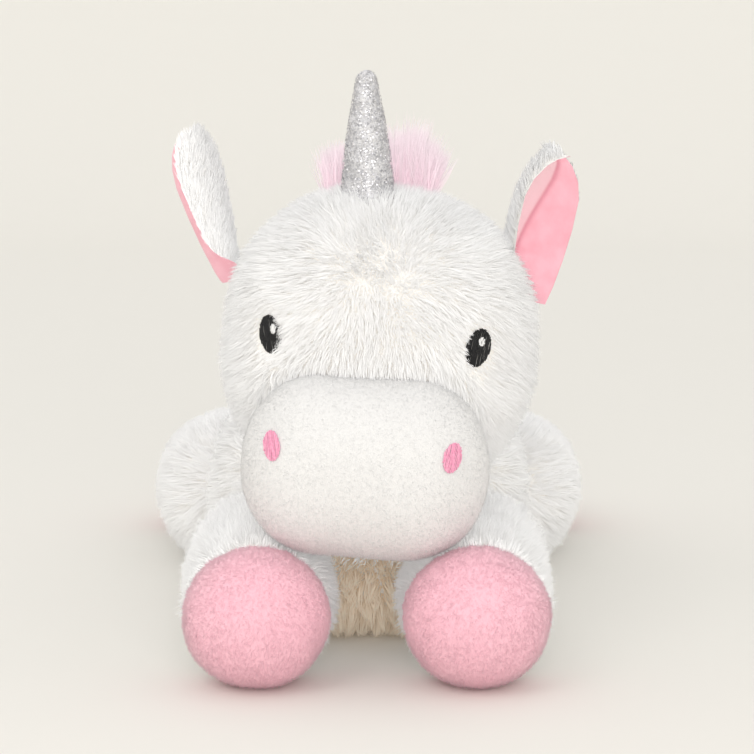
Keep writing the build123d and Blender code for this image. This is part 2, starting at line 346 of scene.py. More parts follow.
def hair(name, points, facing, length, comb, material, seed, width=PILE_WIDTH, curl=PILE_CURL, gather=0.55,
         tuft=3.0, bend=0.5, rings=2):
    """Pile as real hairs, each a thin three-sided spike, open at its root. A hair leaves the cloth
    along facing, leans over by the comb vector, bends on, and leans at its tip into the nearest tuft.
    Returns the pieces it takes."""
    rng = np.random.default_rng(seed)
    n = len(points)
    length = np.broadcast_to(length, n) * rng.uniform(0.72, 1.12, n)
    comb = comb - facing * (comb * facing).sum(1)[:, None]
    lean = unit(facing + comb + rng.normal(0, curl, (n, 3)))
    droop = unit(comb + 1e-6) * (np.linalg.norm(comb, axis=1) * bend)[:, None]
    tips = points + lean * length[:, None] + droop * (length * 0.5)[:, None]
    leaders = rng.choice(n, max(1, int(n / (tuft * tuft * 1.2))), replace=False)
    tree = kdtree.KDTree(len(leaders))
    for i, leader in enumerate(leaders):
        tree.insert(points[leader], i)
    tree.balance()
    nearest = leaders[np.array([tree.find(p)[1] for p in points])]
    pull = (tips[nearest] - tips) * (gather * rng.uniform(0.5, 1.2, n))[:, None]
    side = unit(np.cross(lean, rng.normal(size=(n, 3))))
    other = np.cross(lean, side)
    levels = np.linspace(0, 1, rings + 1)
    rows = []
    for t in levels[:-1]:
        middle = points + lean * (length * t)[:, None] + droop * (length * 0.5 * t * t)[:, None]
        middle = middle + pull * t * t
        half = width / 2 * (1 - 0.75 * t) * rng.uniform(0.8, 1.2, n)
        for turn in HAIR_SIDES:
            rows.append(middle + (side * math.cos(turn) + other * math.sin(turn)) * half[:, None])
    rows.append(tips + pull)
    points_of = np.stack(rows, 1)
    points_of[..., 2] = np.maximum(points_of[..., 2], HAIR_ABOVE_FLOOR)
    per = 3 * rings + 1
    quads, tris = [], []
    for ring in range(rings - 1):
        for k in range(3):
            a, b = 3 * ring + k, 3 * ring + (k + 1) % 3
            quads.append([a, b, b + 3, a + 3])
    for k in range(3):
        tris.append([3 * (rings - 1) + k, 3 * (rings - 1) + (k + 1) % 3, per - 1])
    height = np.repeat(levels[:-1], 3).tolist() + [1.0]
    shade = rng.random(n)
    made = []
    count = max(1, math.ceil(n * (6 * (rings - 1) + 3) / (9 * HAIRS_PER_PIECE)))
    order = np.argsort(points[:, 0] + 0.3 * points[:, 1])
    for part, chosen in enumerate(np.array_split(order, count)):
        start = np.arange(len(chosen))[:, None, None] * per
        faces = [(start + np.array(f)[None]).reshape(-1, len(f[0])) for f in (quads, tris) if f]
        label = name if count == 1 else f"{name}_{part + 1}"
        values = {"along_hair": np.tile(height, len(chosen)), "own_shade": np.repeat(shade[chosen], per)}
        piece = mesh_piece(label, points_of[chosen].reshape(-1, 3), faces, material, values)
        soft = unit(facing[chosen] + 0.35 * lean[chosen] + rng.normal(0, 0.1, (len(chosen), 3)))
        piece.data.normals_split_custom_set_from_vertices(np.repeat(soft, per, 0).astype(np.float32))
        layer = piece.data.uv_layers.new(name="OFBake")
        corner = np.zeros(len(piece.data.loops), np.int32)
        piece.data.loops.foreach_get("vertex_index", corner)
        within = 0.5 + 0.3 * np.cos(HAIR_SIDES[1] * (corner % per % 3))
        across = (corner // per * 37 % BAKE_COLUMNS + within) / BAKE_COLUMNS
        upward = np.tile(height, len(chosen))[corner]
        layer.data.foreach_set("uv", np.stack([across, upward], 1).astype(np.float32).ravel())
        made.append(piece)
    return made


def hair_finish(name, root, tip, rough=0.75, sheen=0.25, glow=0.25):
    """Hair painted darker and warmer down at the cloth, a painted shade for the depth of the pile, with each
    hair a little lighter or darker at random. The small glow is painted light: it stands for the light that
    passes from hair to hair, which a render cuts short."""
    material, wire, shader = finish(name, Roughness=rough, Sheen_Weight=sheen, Specular_IOR_Level=0.25,
                                    Emission_Strength=glow)
    own = wire.attribute("own_shade")
    up = wire.attribute("along_hair") ** 0.8 * (0.82 + 0.18 * own)
    colour = up.blend(root, tip)
    colour.feed(shader, "Base Color")
    colour.feed(shader, "Emission Color")
    return material


def plush_backing(name, colour, shade):
    """The knitted cloth that the pile is locked into: fine ribs of loops."""
    material, wire, shader = finish(name, Roughness=0.9, Sheen_Weight=0.3, Specular_IOR_Level=0.15)
    loops = wire.noise(900.0, 1.0)
    loops.between(0.3, 0.7).blend(shade, colour).feed(shader, "Base Color")
    wire.bump(shader, loops, 0.0004)
    return material


white_pile = hair_finish("white_pile", PILE_ROOT_SHADE, PILE_TIP)
white_backing = plush_backing("white_backing", (0.97, 0.955, 0.93, 1), (0.95, 0.92, 0.88, 1))


def legs_room(p, slack):
    """How far points are outside all four legs, grown by the slack."""
    nearest = np.full(len(p), 1e9)
    for a, ra, b, rb in (FORELEG, HIND_LEG):
        for flip in (np.ones(3), MIRROR):
            nearest = np.minimum(nearest, limb(p, a * flip, ra, b * flip, rb) - slack)
    return nearest


def neck_room(p, slack):
    return np.linalg.norm(p - NECK, axis=1) - NECK_RADIUS - slack


def sack_shape(p):
    """The trunk before the legs and the neck press into it."""
    back = block(p, TRUNK_LOW, TRUNK_HIGH, TRUNK_ROUND)
    return joined(back, block(p, CHEST_LOW, CHEST_HIGH, CHEST_ROUND), 10)


def trunk_shape(p):
    sack = common(sack_shape(p), -legs_room(p, SEAM_GAP), 2)
    return common(sack, -neck_room(p, SEAM_GAP), 2)


trunk = skin("trunk_plush", trunk_shape, (0, 24, 40), (66, 100, 43), white_backing, 6, 0.5, 40, 3)
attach(trunk, "trunk")
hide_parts("back_panel", "belly_panel")


def trunk_open(p):
    """Where the trunk's pile shows: clear of the legs, the neck and the floor."""
    return (legs_room(p, 0) > 2.5) & (neck_room(p, 0) > 2.0) & (p[:, 2] > 3.0)


def chest_open(p):
    """The low chest, which is seen closest and takes extra pile."""
    return trunk_open(p) & (p[:, 1] < -45) & (p[:, 2] < 45)


points, facing = places_on(trunk, 0.62, 11, trunk_open)
more_points, more_facing = places_on(trunk, 1.2, 13, chest_open)
points, facing = np.concatenate([points, more_points]), np.concatenate([facing, more_facing])
comb = np.tile((0.0, 0.55, -0.45), (len(points), 1)) + 0.35 * wander(points, 30, (5, 6, 7))
trunk_length = np.clip(TRUNK_PILE * (0.55 + 0.1 * legs_room(points, 0)), 4.5, TRUNK_PILE)
trunk_length = np.minimum(trunk_length, 3.0 + points[:, 2] * 0.8)
# Painted shade: the low chest between the forelegs gets warm, darker pile. Each hair there is picked with a
# chance that fades out upwards and backwards.
chest_shade_share = np.minimum((SHADE_FRONT_Y - points[:, 1]) / SHADE_FADE, (SHADE_TOP_Z - points[:, 2]) / SHADE_FADE)
painted_shade_chest = chest_shade_share > np.random.default_rng(14).random(len(points))
painted_shade_chest_pile = hair_finish("painted_shade_chest_pile", (0.74, 0.55, 0.37, 1), (0.98, 0.87, 0.72, 1), glow=0.14)
piles = (("trunk_pile", ~painted_shade_chest, white_pile, PILE_CURL), ("painted_shade_chest_pile", painted_shade_chest, painted_shade_chest_pile, CHEST_CURL))
for label, chosen, finish_of, curl in piles:
    for piece in hair(label, points[chosen], facing[chosen], trunk_length[chosen], comb[chosen], finish_of,
                      12, curl=curl, gather=0.55 + curl, tuft=3.0 + 6 * (curl - PILE_CURL)):
        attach(piece, "trunk")


# Legs
# Each leg is a stuffed sleeve of the same plush, its hoof a cap of pink short-pile velour sewn on with
# the seam tucked in. The sleeve's pile stands over the seam as a white fringe.

HOOF_SLEEVE, HOOF_GROWN, HOOF_WIDENED, HOOF_PUCKER = 8, 0.7, 1.05, 0.22
HOOF_COLOUR, HOOF_SHADE = (0.94, 0.55, 0.63, 1), (0.915, 0.51, 0.60, 1)


def velour(name, colour, shade, nap=60.0):
    """The ground of a short dense pile: fine grain, and broad patches where it has been brushed two ways."""
    material, wire, shader = finish(name, Roughness=0.85, Sheen_Weight=0.35, Sheen_Roughness=0.5,
                                    Specular_IOR_Level=0.2)
    grain = wire.noise(2400.0, 2.0)
    brushed = wire.noise(nap, 3.0).between(0.35, 0.65)
    (grain.between(0.25, 0.75) * 0.55 + brushed * 0.45).blend(shade, colour).feed(shader, "Base Color")
    wire.bump(shader, grain * 0.5 + brushed * 0.5, 0.00016)
    return material


pink_velour = velour("pink_velour", HOOF_COLOUR, HOOF_SHADE)
pink_nap = hair_finish("pink_nap", HOOF_SHADE, (0.97, 0.60, 0.68, 1), glow=0.12)


def nap(name, piece, per_mm2, length, material, seed, body, slot, keep=None, comb=(0, 0.1, -0.6)):
    """The velour's own short pile, one small spike to a hair."""
    points, facing = places_on(piece, per_mm2, seed, keep)
    lean = np.tile(comb, (len(points), 1)) + 0.4 * wander(points, 18, (seed, seed + 1, seed + 2))
    for part in hair(name, points, facing, length, lean, material, seed, 0.2, 0.3, 0.0, 3.0, 0.3, 1):
        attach(part, body)


def gathers(points, centre, axis, seam, depth, seed):
    """Puckers in the cloth just past a seam: how far points move in or out, fading with distance."""
    along = (points - centre) @ axis - seam
    around = np.arctan2(*((points - centre) @ np.array([np.cross(axis, (0, 0, 1)), (0, 0, 1)]).T).T)
    wave = np.sin(around * 23 + 1.3 * np.sin(around * 5 + seed)) + 0.6 * np.sin(around * 37 + seed)
    return depth * wave * np.exp(-((along / 7.0) ** 2))


def leg(side, kind, spec, flip):
    """Sleeve, hoof, seam and pile of one leg."""
    a, ra, b, rb = spec
    a, b = a * flip, b * flip
    body = f"{side}_{kind}"
    axis = (b - a) / np.linalg.norm(b - a)
    seam = np.linalg.norm(b - a) - HOOF_SLEEVE
    number = len(body) + ra

    def sleeve_shape(p):
        return common(limb(p, a, ra, b, rb), (p - a) @ axis - seam, 4)

    def hoof_shape(p):
        return common(limb(p, a, ra, b, rb), seam - (p - a) @ axis, 4) - HOOF_GROWN

    reach = np.array((ra, np.linalg.norm(b - a) / 2 + ra / 2, ra))
    middle = a + axis * (seam / 2 - ra / 4)
    sleeve = skin(f"{body}_plush", sleeve_shape, middle, reach, white_backing, 5, 0.4, 25, number)
    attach(sleeve, body)
    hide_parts(f"{body}_cover")

    middle = a + axis * (seam + HOOF_SLEEVE)
    hoof = skin(f"{body}_hoof_velour", hoof_shape, middle, (rb, rb, rb), pink_velour, 6, 0.35, 19, number)
    co = np.array([v.co[:] for v in hoof.data.vertices]) * 1000
    push = gathers(co, a, axis, seam, HOOF_PUCKER, number)
    out = unit(co - a - ((co - a) @ axis)[:, None] * axis)
    co = co + out * push[:, None]
    co[:, 0] = b[0] + (co[:, 0] - b[0]) * HOOF_WIDENED
    co[:, 2] = np.maximum(co[:, 2], SKIN_ABOVE_FLOOR)
    hoof.data.vertices.foreach_set("co", (co * 0.001).astype(np.float32).ravel())
    hoof.data.update()
    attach(hoof, body)
    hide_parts(f"{body}_hoof")

    def hoof_open(p):
        return ((p - a) @ axis > seam + 1.0) & (p[:, 2] > 0.9)

    nap(f"{body}_hoof_nap", hoof, 2.2, 1.4, pink_nap, number, body, f"{body}_hoof", hoof_open)

    def sleeve_open(p):
        along = (p - a) @ axis
        inside = block(p, TRUNK_LOW, TRUNK_HIGH, TRUNK_ROUND)
        inside = np.minimum(inside, block(p, CHEST_LOW, CHEST_HIGH, CHEST_ROUND))
        return (along < seam - 0.6) & (inside > -3) & (p[:, 2] > 2.0) & (limb(p, a, ra, b, rb) > -2.5)

    points, facing = places_on(sleeve, 1.0, number + 20, sleeve_open)
    inner = np.clip(-(points[:, 0] - b[0]) * np.sign(b[0]) / 14, 0, 1)
    sweep_back = 0.8 - 1.0 * inner if kind == "foreleg" else np.full(len(points), -0.6)
    comb = np.array((0, 0, -0.25)) - axis * sweep_back[:, None]
    comb = comb + 0.35 * wander(points, 24, (number + 1, number + 2, number + 3))
    near_seam = np.clip(0.4 + (seam - (points - a) @ axis) / 28, 0.4, 1)
    length = np.clip(2.0 + points[:, 2] * 0.9, 2.5, 8.5) * near_seam
    for piece in hair(f"{body}_pile", points, facing, length, comb, white_pile, number + 30):
        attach(piece, body)


for side, flip in (("left", np.ones(3)), ("right", MIRROR)):
    leg(side, "foreleg", FORELEG, flip)
    leg(side, "hind_leg", HIND_LEG, flip)


# Neck
# A stuffed ball of the same plush, sewn between head and trunk and almost hidden by the pile of both. Its
# own pile is added in the head's section, once the head's place is known.


def neck_shape(p):
    return neck_room(p, 0)


neck = skin("neck_plush", neck_shape, NECK, (1, 1, 1), white_backing, 5, 0.0)
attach(neck, "neck")
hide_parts("neck_cover")


def neck_open(p):
    """Where the neck's pile shows, between the head and the trunk."""
    return (sack_shape(p) > 0.5) & (block(to_head(p), HEAD_LOW, HEAD_HIGH, HEAD_ROUND) > 0.5)


def pile_neck():
    points, facing = places_on(neck, 1.2, 18, neck_open)
    comb = np.tile((0.0, 0.25, -0.5), (len(points), 1)) + 0.3 * wander(points, 20, (1, 2, 3))
    for piece in hair("neck_pile", points, facing, 7.0, comb, white_pile, 19):
        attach(piece, "neck")


# Head
# A stuffed block of plush with large round edges, its pile brushed down and back from the muzzle. It
# is set a little askew on the neck, turned and tilted to one side.

HEAD_LOW, HEAD_HIGH, HEAD_ROUND = (-59, -116, 64), (59, -8, 181), 52
MUZZLE_LOW, MUZZLE_HIGH, MUZZLE_ROUND = (-48, -152, 52.5), (48, -84, 116), 31
MUZZLE_SAG = 6.0
HEAD_SHIFT, HEAD_YAW, HEAD_ROLL = 5.5, -3.5, 3.3
HEAD_PILE, HEAD_CENTRE = 8.0, (0, -62, 124)
EYE_X, EYE_Z, EYE_HALF_WIDTH, EYE_HALF_HEIGHT, EYE_LEAN = 41, 128.5, 4.8, 7.6, 9
BEFORE_FACE = -140  # where an eye's middle starts, ahead of the face, before it is pressed on

yaw, roll = math.radians(HEAD_YAW), math.radians(HEAD_ROLL)
head_turn = np.array(Matrix.Rotation(yaw, 3, "Z") @ Matrix.Rotation(roll, 3, "Y"))
head_middle = NECK + np.array((HEAD_SHIFT, 0, 0))


def to_head(p):
    """From the toy's frame to the head's own straight frame."""
    return (p - head_middle) @ head_turn + NECK


def from_head(p):
    return (np.asarray(p, float) - NECK) @ head_turn.T + head_middle


pile_neck()


def head_shape(p):
    return common(block(to_head(p), HEAD_LOW, HEAD_HIGH, HEAD_ROUND), -neck_room(p, SEAM_GAP), 2)


def muzzle_block(p):
    """The pouch of the muzzle, whose chin sags a little."""
    q = to_head(p)
    forward = np.clip((MUZZLE_HIGH[1] - q[:, 1]) / 40, 0, 1)
    low = np.clip((MUZZLE_HIGH[2] - q[:, 2]) / 60, 0, 1)
    q[:, 2] += MUZZLE_SAG * forward * low
    return block(q, MUZZLE_LOW, MUZZLE_HIGH, MUZZLE_ROUND)


def press(shape, points, direction):
    """Points slid along the direction until they meet the shape."""
    points = np.array(points, float)
    for _ in range(60):
        points += direction * shape(points)[:, None]
    return points


head = skin("head_plush", head_shape, from_head(HEAD_CENTRE), (59, 54, 58), white_backing, 6, 0.5, 30, 8)
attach(head, "head")
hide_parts("head_cover")

eye_places = {}
for side, sign in (("left", 1), ("right", -1)):
    start = from_head([(sign * EYE_X, BEFORE_FACE, EYE_Z)])
    eye_places[side] = press(head_shape, start, head_turn @ np.array((0, 1.0, 0)))[0]


def near_eyes(p):
    """How far points are from the nearer eye. The pile creeps over the lower inner side of the right one."""
    left = np.linalg.norm((p - eye_places["left"]) / (0.8, 1, 1.1), axis=1)
    right = np.linalg.norm((p - eye_places["right"] - (-1.8, 0, 0.8)) / (0.8, 1, 1.1), axis=1)
    return np.minimum(left, right)


def head_open(p):
    return (muzzle_block(p) > 0.4) & (neck_room(p, 0) > 3) & (near_eyes(p) > 7.2)


points, facing = places_on(head, 1.3, 21, head_open)
local = to_head(points)
flow = np.stack([0.25 * np.sign(local[:, 0]) * np.minimum(np.abs(local[:, 0]) / 30, 1),
                 np.full(len(local), 0.25), -0.55 + 0.6 * np.clip((112 - local[:, 2]) / 30, 0, 1)], 1)
comb = flow + 0.2 * wander(points, 26, (15, 16, 17))
over_seam = np.clip(1 - muzzle_block(points) / 11, 0, 1) * np.clip((local[:, 2] - 86) / 12, 0, 1)
inward_comb = np.stack([-0.5 * np.sign(local[:, 0]) * np.clip((np.abs(local[:, 0]) - 15) / 20, 0, 1),
                        np.full(len(points), -0.5), np.full(len(points), -0.7)], 1)
comb = comb * (1 - over_seam[:, None]) + inward_comb * over_seam[:, None]
head_length = HEAD_PILE * np.clip((near_eyes(points) - 4.5) / 12, 0.28, 1)
head_length = head_length * np.clip(0.45 + 0.6 * over_seam + muzzle_block(points) / 14, 0, 1)
for piece in hair("head_pile", points, facing, head_length, comb, white_pile, 22, gather=0.4):
    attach(piece, "head")


# Muzzle
# A stuffed pouch of white short-pile velour, sewn to the face along a seam that arches over it.

MUZZLE_COLOUR, MUZZLE_SHADE = (0.79, 0.785, 0.78, 1), (0.77, 0.76, 0.755, 1)
FACE_LOW, FACE_HIGH, FACE_ROUND = (-50, -100, 70), (50, -12, 172), 46  # the face that the pouch is sewn to

white_velour = velour("white_velour", MUZZLE_COLOUR, MUZZLE_SHADE, 45.0)


def muzzle_shape(p):
    return common(muzzle_block(p), -block(to_head(p), FACE_LOW, FACE_HIGH, FACE_ROUND), 3)


middle = from_head((0, -122, 86))
muzzle = skin("muzzle_velour", muzzle_shape, middle, (48, 34, 32), white_velour, 6, 0.35, 34, 5)
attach(muzzle, "head")
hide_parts("muzzle_cover")


def muzzle_open(p):
    return block(to_head(p), HEAD_LOW, HEAD_HIGH, HEAD_ROUND) > 1.5


muzzle_nap = hair_finish("muzzle_nap", MUZZLE_COLOUR, (0.84, 0.838, 0.835, 1), glow=0.16)
nap("muzzle_nap", muzzle, 1.6, 0.8, muzzle_nap, 25, "head", "muzzle_cover", muzzle_open)


# Eyes and nostrils
# Satin stitch: a small padded oval covered with parallel threads, each thread one stitch across it.
# The eyes are black with a white glint, the nostrils pink.

GLINT_HALF_WIDTH, GLINT_HALF_HEIGHT, GLINT_RISE = 1.1, 1.8, 2.6
NOSTRIL_X, NOSTRIL_Z, NOSTRIL_HALF_WIDTH, NOSTRIL_HALF_HEIGHT, NOSTRIL_LEAN = 34.3, 92, 3.4, 5.4, 8
THREAD_PITCH, THREAD_SIDES, STITCH_POINTS = 0.42, 6, 13
STITCH_START_Y = -200  # ahead of the face, before the stitches are pressed on


def thread_finish(name, colour, light, rough):
    """Shiny twisted thread."""
    material, wire, shader = finish(name, Roughness=rough, Sheen_Weight=0.02, Specular_IOR_Level=0.35)
    twist = wire.noise(1100.0, 1.0)
    twist.between(0.3, 0.7).blend(colour, light).feed(shader, "Base Color")
    wire.bump(shader, twist, 0.0001)
    return material


def satin(name, shape, x, z, half_width, half_height, lean, rise, stand, material, node):
    """An oval of satin stitch in the head's frame, pressed on to a shape and rise high at its middle."""
    rows = int(2 * half_width / THREAD_PITCH)
    points, faces, count = [], [], 0
    angle = math.radians(lean)
    rng = np.random.default_rng(int(abs(x) * 10 + z))
    inward = head_turn @ np.array((0, 1.0, 0))
    for row in range(rows):
        u = -1 + (2 * row + 1) / rows
        half = math.sqrt(max(0.0, 1 - u * u)) * half_height + rng.uniform(-0.15, 0.15)
        steps = np.linspace(-1, 1, STITCH_POINTS)
        across = np.full(STITCH_POINTS, u * half_width) + 0.12 * np.sin(steps * 3 + rng.uniform(0, 6))
        up = steps * half
        ahead = np.full(STITCH_POINTS, STITCH_START_Y)
        flat = np.stack([across * math.cos(angle) + up * math.sin(angle) + x, ahead,
                         -across * math.sin(angle) + up * math.cos(angle) + z], 1)
        on = press(shape, from_head(flat), inward)
        dome = 1 - (across / half_width) ** 2 * 0.9 - (up / half_height) ** 2 * 0.9
        on = on - inward * (stand + rise * np.sqrt(np.clip(dome, 0, 1)))[:, None]
        line = unit(np.gradient(on, axis=0))
        sideways = unit(np.cross(line, np.tile(inward, (STITCH_POINTS, 1))))
        outward = np.cross(sideways, line)
        for turn in np.linspace(0, 2 * np.pi, THREAD_SIDES, endpoint=False):
            points.append(on + (sideways * math.cos(turn) + outward * math.sin(turn)) * THREAD_PITCH * 0.56)
        for k in range(THREAD_SIDES):
            for j in range(STITCH_POINTS - 1):
                a = count + k * STITCH_POINTS + j
                b = count + (k + 1) % THREAD_SIDES * STITCH_POINTS + j
                faces.append([a, b, b + 1, a + 1])
        count += THREAD_SIDES * STITCH_POINTS
    piece = mesh_piece(name, np.concatenate(points), [np.array(faces)], material)
    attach(piece, "head")
    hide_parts(node)


black_thread = thread_finish("black_thread", (0.004, 0.004, 0.005, 1), (0.012, 0.012, 0.013, 1), 0.5)
glint_thread = thread_finish("glint_thread", (0.85, 0.85, 0.85, 1), (0.95, 0.95, 0.95, 1), 0.4)
nostril_thread = thread_finish("nostril_thread", (0.84, 0.33, 0.50, 1), (0.93, 0.45, 0.60, 1), 0.5)
for side, sign in (("left", 1), ("right", -1)):
    satin(f"{side}_eye_stitches", head_shape, sign * EYE_X, EYE_Z, EYE_HALF_WIDTH, EYE_HALF_HEIGHT,
          sign * EYE_LEAN, 1.2, 0.6, black_thread, f"{side}_eye")
    satin(f"{side}_glint_stitches", head_shape, sign * EYE_X + 1.2, EYE_Z + GLINT_RISE, GLINT_HALF_WIDTH,
          GLINT_HALF_HEIGHT, 0, 0.3, 2.1, glint_thread, f"{side}_eye_glint")
    satin(f"{side}_nostril_stitches", muzzle_block, sign * NOSTRIL_X, NOSTRIL_Z, NOSTRIL_HALF_WIDTH,
          NOSTRIL_HALF_HEIGHT, sign * NOSTRIL_LEAN, 0.5, 0.35, nostril_thread, f"{side}_nostril")


# Horn
# A slim cone of silver fabric covered with glitter flakes, stuffed hard and sewn to the crown.

HORN_BASE = np.array((-7.3, -68, 174))
HORN_RADIUS, HORN_TIP_RADIUS, HORN_LENGTH, HORN_LEAN = 11.5, 4.2, 59, -4
HORN_BURIED, HORN_BULGE, HORN_COLUMNS = 3.0, 4.8, 72
FLAKES, FLAKES_ACROSS = 6000, 80


def horn_radius(h):
    """The horn's radius at a height: a slightly bulging cone that ends in a ball."""
    shoulder = HORN_LENGTH - HORN_TIP_RADIUS
    share = np.clip(h / shoulder, 0, 1)
    cone = HORN_RADIUS + (HORN_TIP_RADIUS - HORN_RADIUS) * share + HORN_BULGE * share * (1 - share)
    ball = np.sqrt(np.maximum(HORN_TIP_RADIUS**2 - np.maximum(h - shoulder, 0) ** 2, 0))
    return np.where(h > shoulder, ball, cone)


horn_turn = np.array(Matrix.Rotation(math.radians(HORN_LEAN), 3, "Y"))


def horn_point(angle, h, out=0.0):
    """A point on the horn in the toy's frame, and the way the cloth faces there."""
    slope = (horn_radius(h + 0.05) - horn_radius(h - 0.05)) / 0.1
    radius = horn_radius(h) + out
    place = np.stack([radius * np.cos(angle), radius * np.sin(angle), h], 1)
    facing = unit(np.stack([np.cos(angle), np.sin(angle), -np.clip(slope, -6, 6)], 1))
    return from_head(place @ horn_turn.T + HORN_BASE), facing @ horn_turn.T @ head_turn.T


silver_cloth, wire, shader = finish("silver_cloth", Metallic=0.35, Roughness=0.5)
speck = wire.noise(1400.0, 2.0)
speck.between(0.3, 0.7).blend((0.56, 0.56, 0.59, 1), (0.80, 0.79, 0.80, 1)).feed(shader, "Base Color")
wire.bump(shader, speck, 0.0003)

shoulder = HORN_LENGTH - HORN_TIP_RADIUS
levels = np.concatenate([np.linspace(0, shoulder, 60),
                         shoulder + HORN_TIP_RADIUS * np.sin(np.linspace(0.1, 1.56, 12))])
around = np.linspace(0, 2 * np.pi, HORN_COLUMNS, endpoint=False)
grid_angle, grid_level = (g.ravel() for g in np.meshgrid(around, levels, indexing="ij"))
puff = 0.25 * np.sin(grid_level * 0.5 + grid_angle * 2) + 0.15 * np.sin(grid_level * 1.1 - grid_angle * 3)
cloth_points, _ = horn_point(grid_angle, grid_level, puff - 0.25)
columns, rows = np.meshgrid(np.arange(HORN_COLUMNS), np.arange(len(levels) - 1), indexing="ij")
here, there = columns * len(levels) + rows, (columns + 1) % HORN_COLUMNS * len(levels) + rows
quads = np.stack([here, there, there + 1, here + 1], -1).reshape(-1, 4)
horn = mesh_piece("horn_cloth", cloth_points, [quads], silver_cloth)
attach(horn, "head")
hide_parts("horn_cover")

flake_finish, wire, shader = finish("glitter_flakes", Metallic=0.75, Roughness=0.3)
wire.attribute("flake_shade").blend((0.42, 0.42, 0.45, 1), (0.88, 0.87, 0.88, 1)).feed(shader, "Base Color")
rng = np.random.default_rng(77)
h = rng.uniform(HORN_BURIED, HORN_LENGTH - 0.1, FLAKES * 2)
h = h[rng.random(len(h)) < horn_radius(h) / HORN_RADIUS][:FLAKES]
middle, facing = horn_point(rng.uniform(0, 2 * np.pi, len(h)), h, 0.15)
tilted = unit(facing + rng.normal(0, 0.26, facing.shape))
side = unit(np.cross(tilted, rng.normal(size=facing.shape)))
other = np.cross(tilted, side)
size = rng.uniform(0.2, 0.42, len(h))
corners = [middle + (side * math.cos(t) + other * math.sin(t)) * size[:, None]
           for t in np.arange(6) * np.pi / 3]
flakes = mesh_piece("horn_glitter", np.stack(corners, 1).reshape(-1, 3),
                    [np.arange(len(h) * 6).reshape(-1, 6)], flake_finish,
                    {"flake_shade": np.repeat(rng.random(len(h)), 6)})
flakes.data.polygons.foreach_set("use_smooth", np.zeros(len(flakes.data.polygons), bool))
layer = flakes.data.uv_layers.new(name="OFBake")
number = np.arange(len(h) * 6) // 6
turn = np.arange(len(h) * 6) % 6 * np.pi / 3
across, up = number % FLAKES_ACROSS, number // FLAKES_ACROSS
across = (across + 0.5 + 0.4 * np.cos(turn)) / FLAKES_ACROSS
up = (up + 0.5 + 0.4 * np.sin(turn)) / FLAKES_ACROSS
layer.data.foreach_set("uv", np.stack([across, up], 1).astype(np.float32).ravel())
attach(flakes, "head")


# Ears
# Each ear is two leaves sewn edge to edge: white plush behind, pink velour in front, folded lengthwise
# so that a crease runs up the lining, and gathered at the root.

EAR_LENGTH, EAR_THICK, EAR_COLUMNS, EAR_ROWS = 62, 2.6, 41, 61
EAR_HAIRS, EAR_PILE = 5000, 5.5
EAR_HEIGHTS = (0, 0.12, 0.3, 0.5, 0.7, 0.82, 0.92, 0.97, 1.0)
EAR_HALF_WIDTHS = (5, 8.5, 12.5, 16, 18.2, 17, 13, 9, 3)
LEFT_EAR_SHIFT = np.array((-7.0, 0, 0))
EAR_ROLL, EAR_STAND_OFF, EAR_ROOT_Z, EAR_ROOT_Y = 4, 3.2, 141, -54
EAR_SET = {
    "left": ((0.12, 0.0, 0.99), (0.60, -0.80, -0.1)),
    "right": ((-0.33, -0.05, 0.94), (-0.88, 0.42, -0.2)),
}
LINING_COLOUR, LINING_SHADE = (0.93, 0.50, 0.58, 1), (0.88, 0.42, 0.50, 1)

lining_velour = velour("lining_velour", LINING_COLOUR, LINING_SHADE, 70.0)
# In place of the velour's own colour: brushed patches, painted light on the side of the crease that faces the
# lamp, and painted shade along the crease line
wire, shader = Wire(lining_velour.node_tree), lining_velour.node_tree.nodes["Principled BSDF"]
brushed = wire.noise(120.0, 3.0).between(0.35, 0.65).blend(LINING_SHADE, LINING_COLOUR)
lit = wire.attribute("crease_painted_light").blend(brushed, (0.96, 0.60, 0.67, 1))
wire.attribute("crease_painted_shade").blend(lit, (0.76, 0.30, 0.38, 1)).feed(shader, "Base Color")


def past_crease(u, v):
    """How far a place on the left ear is past its crease, which slants across it from the root."""
    return u - (1.1 - 1.75 * v)


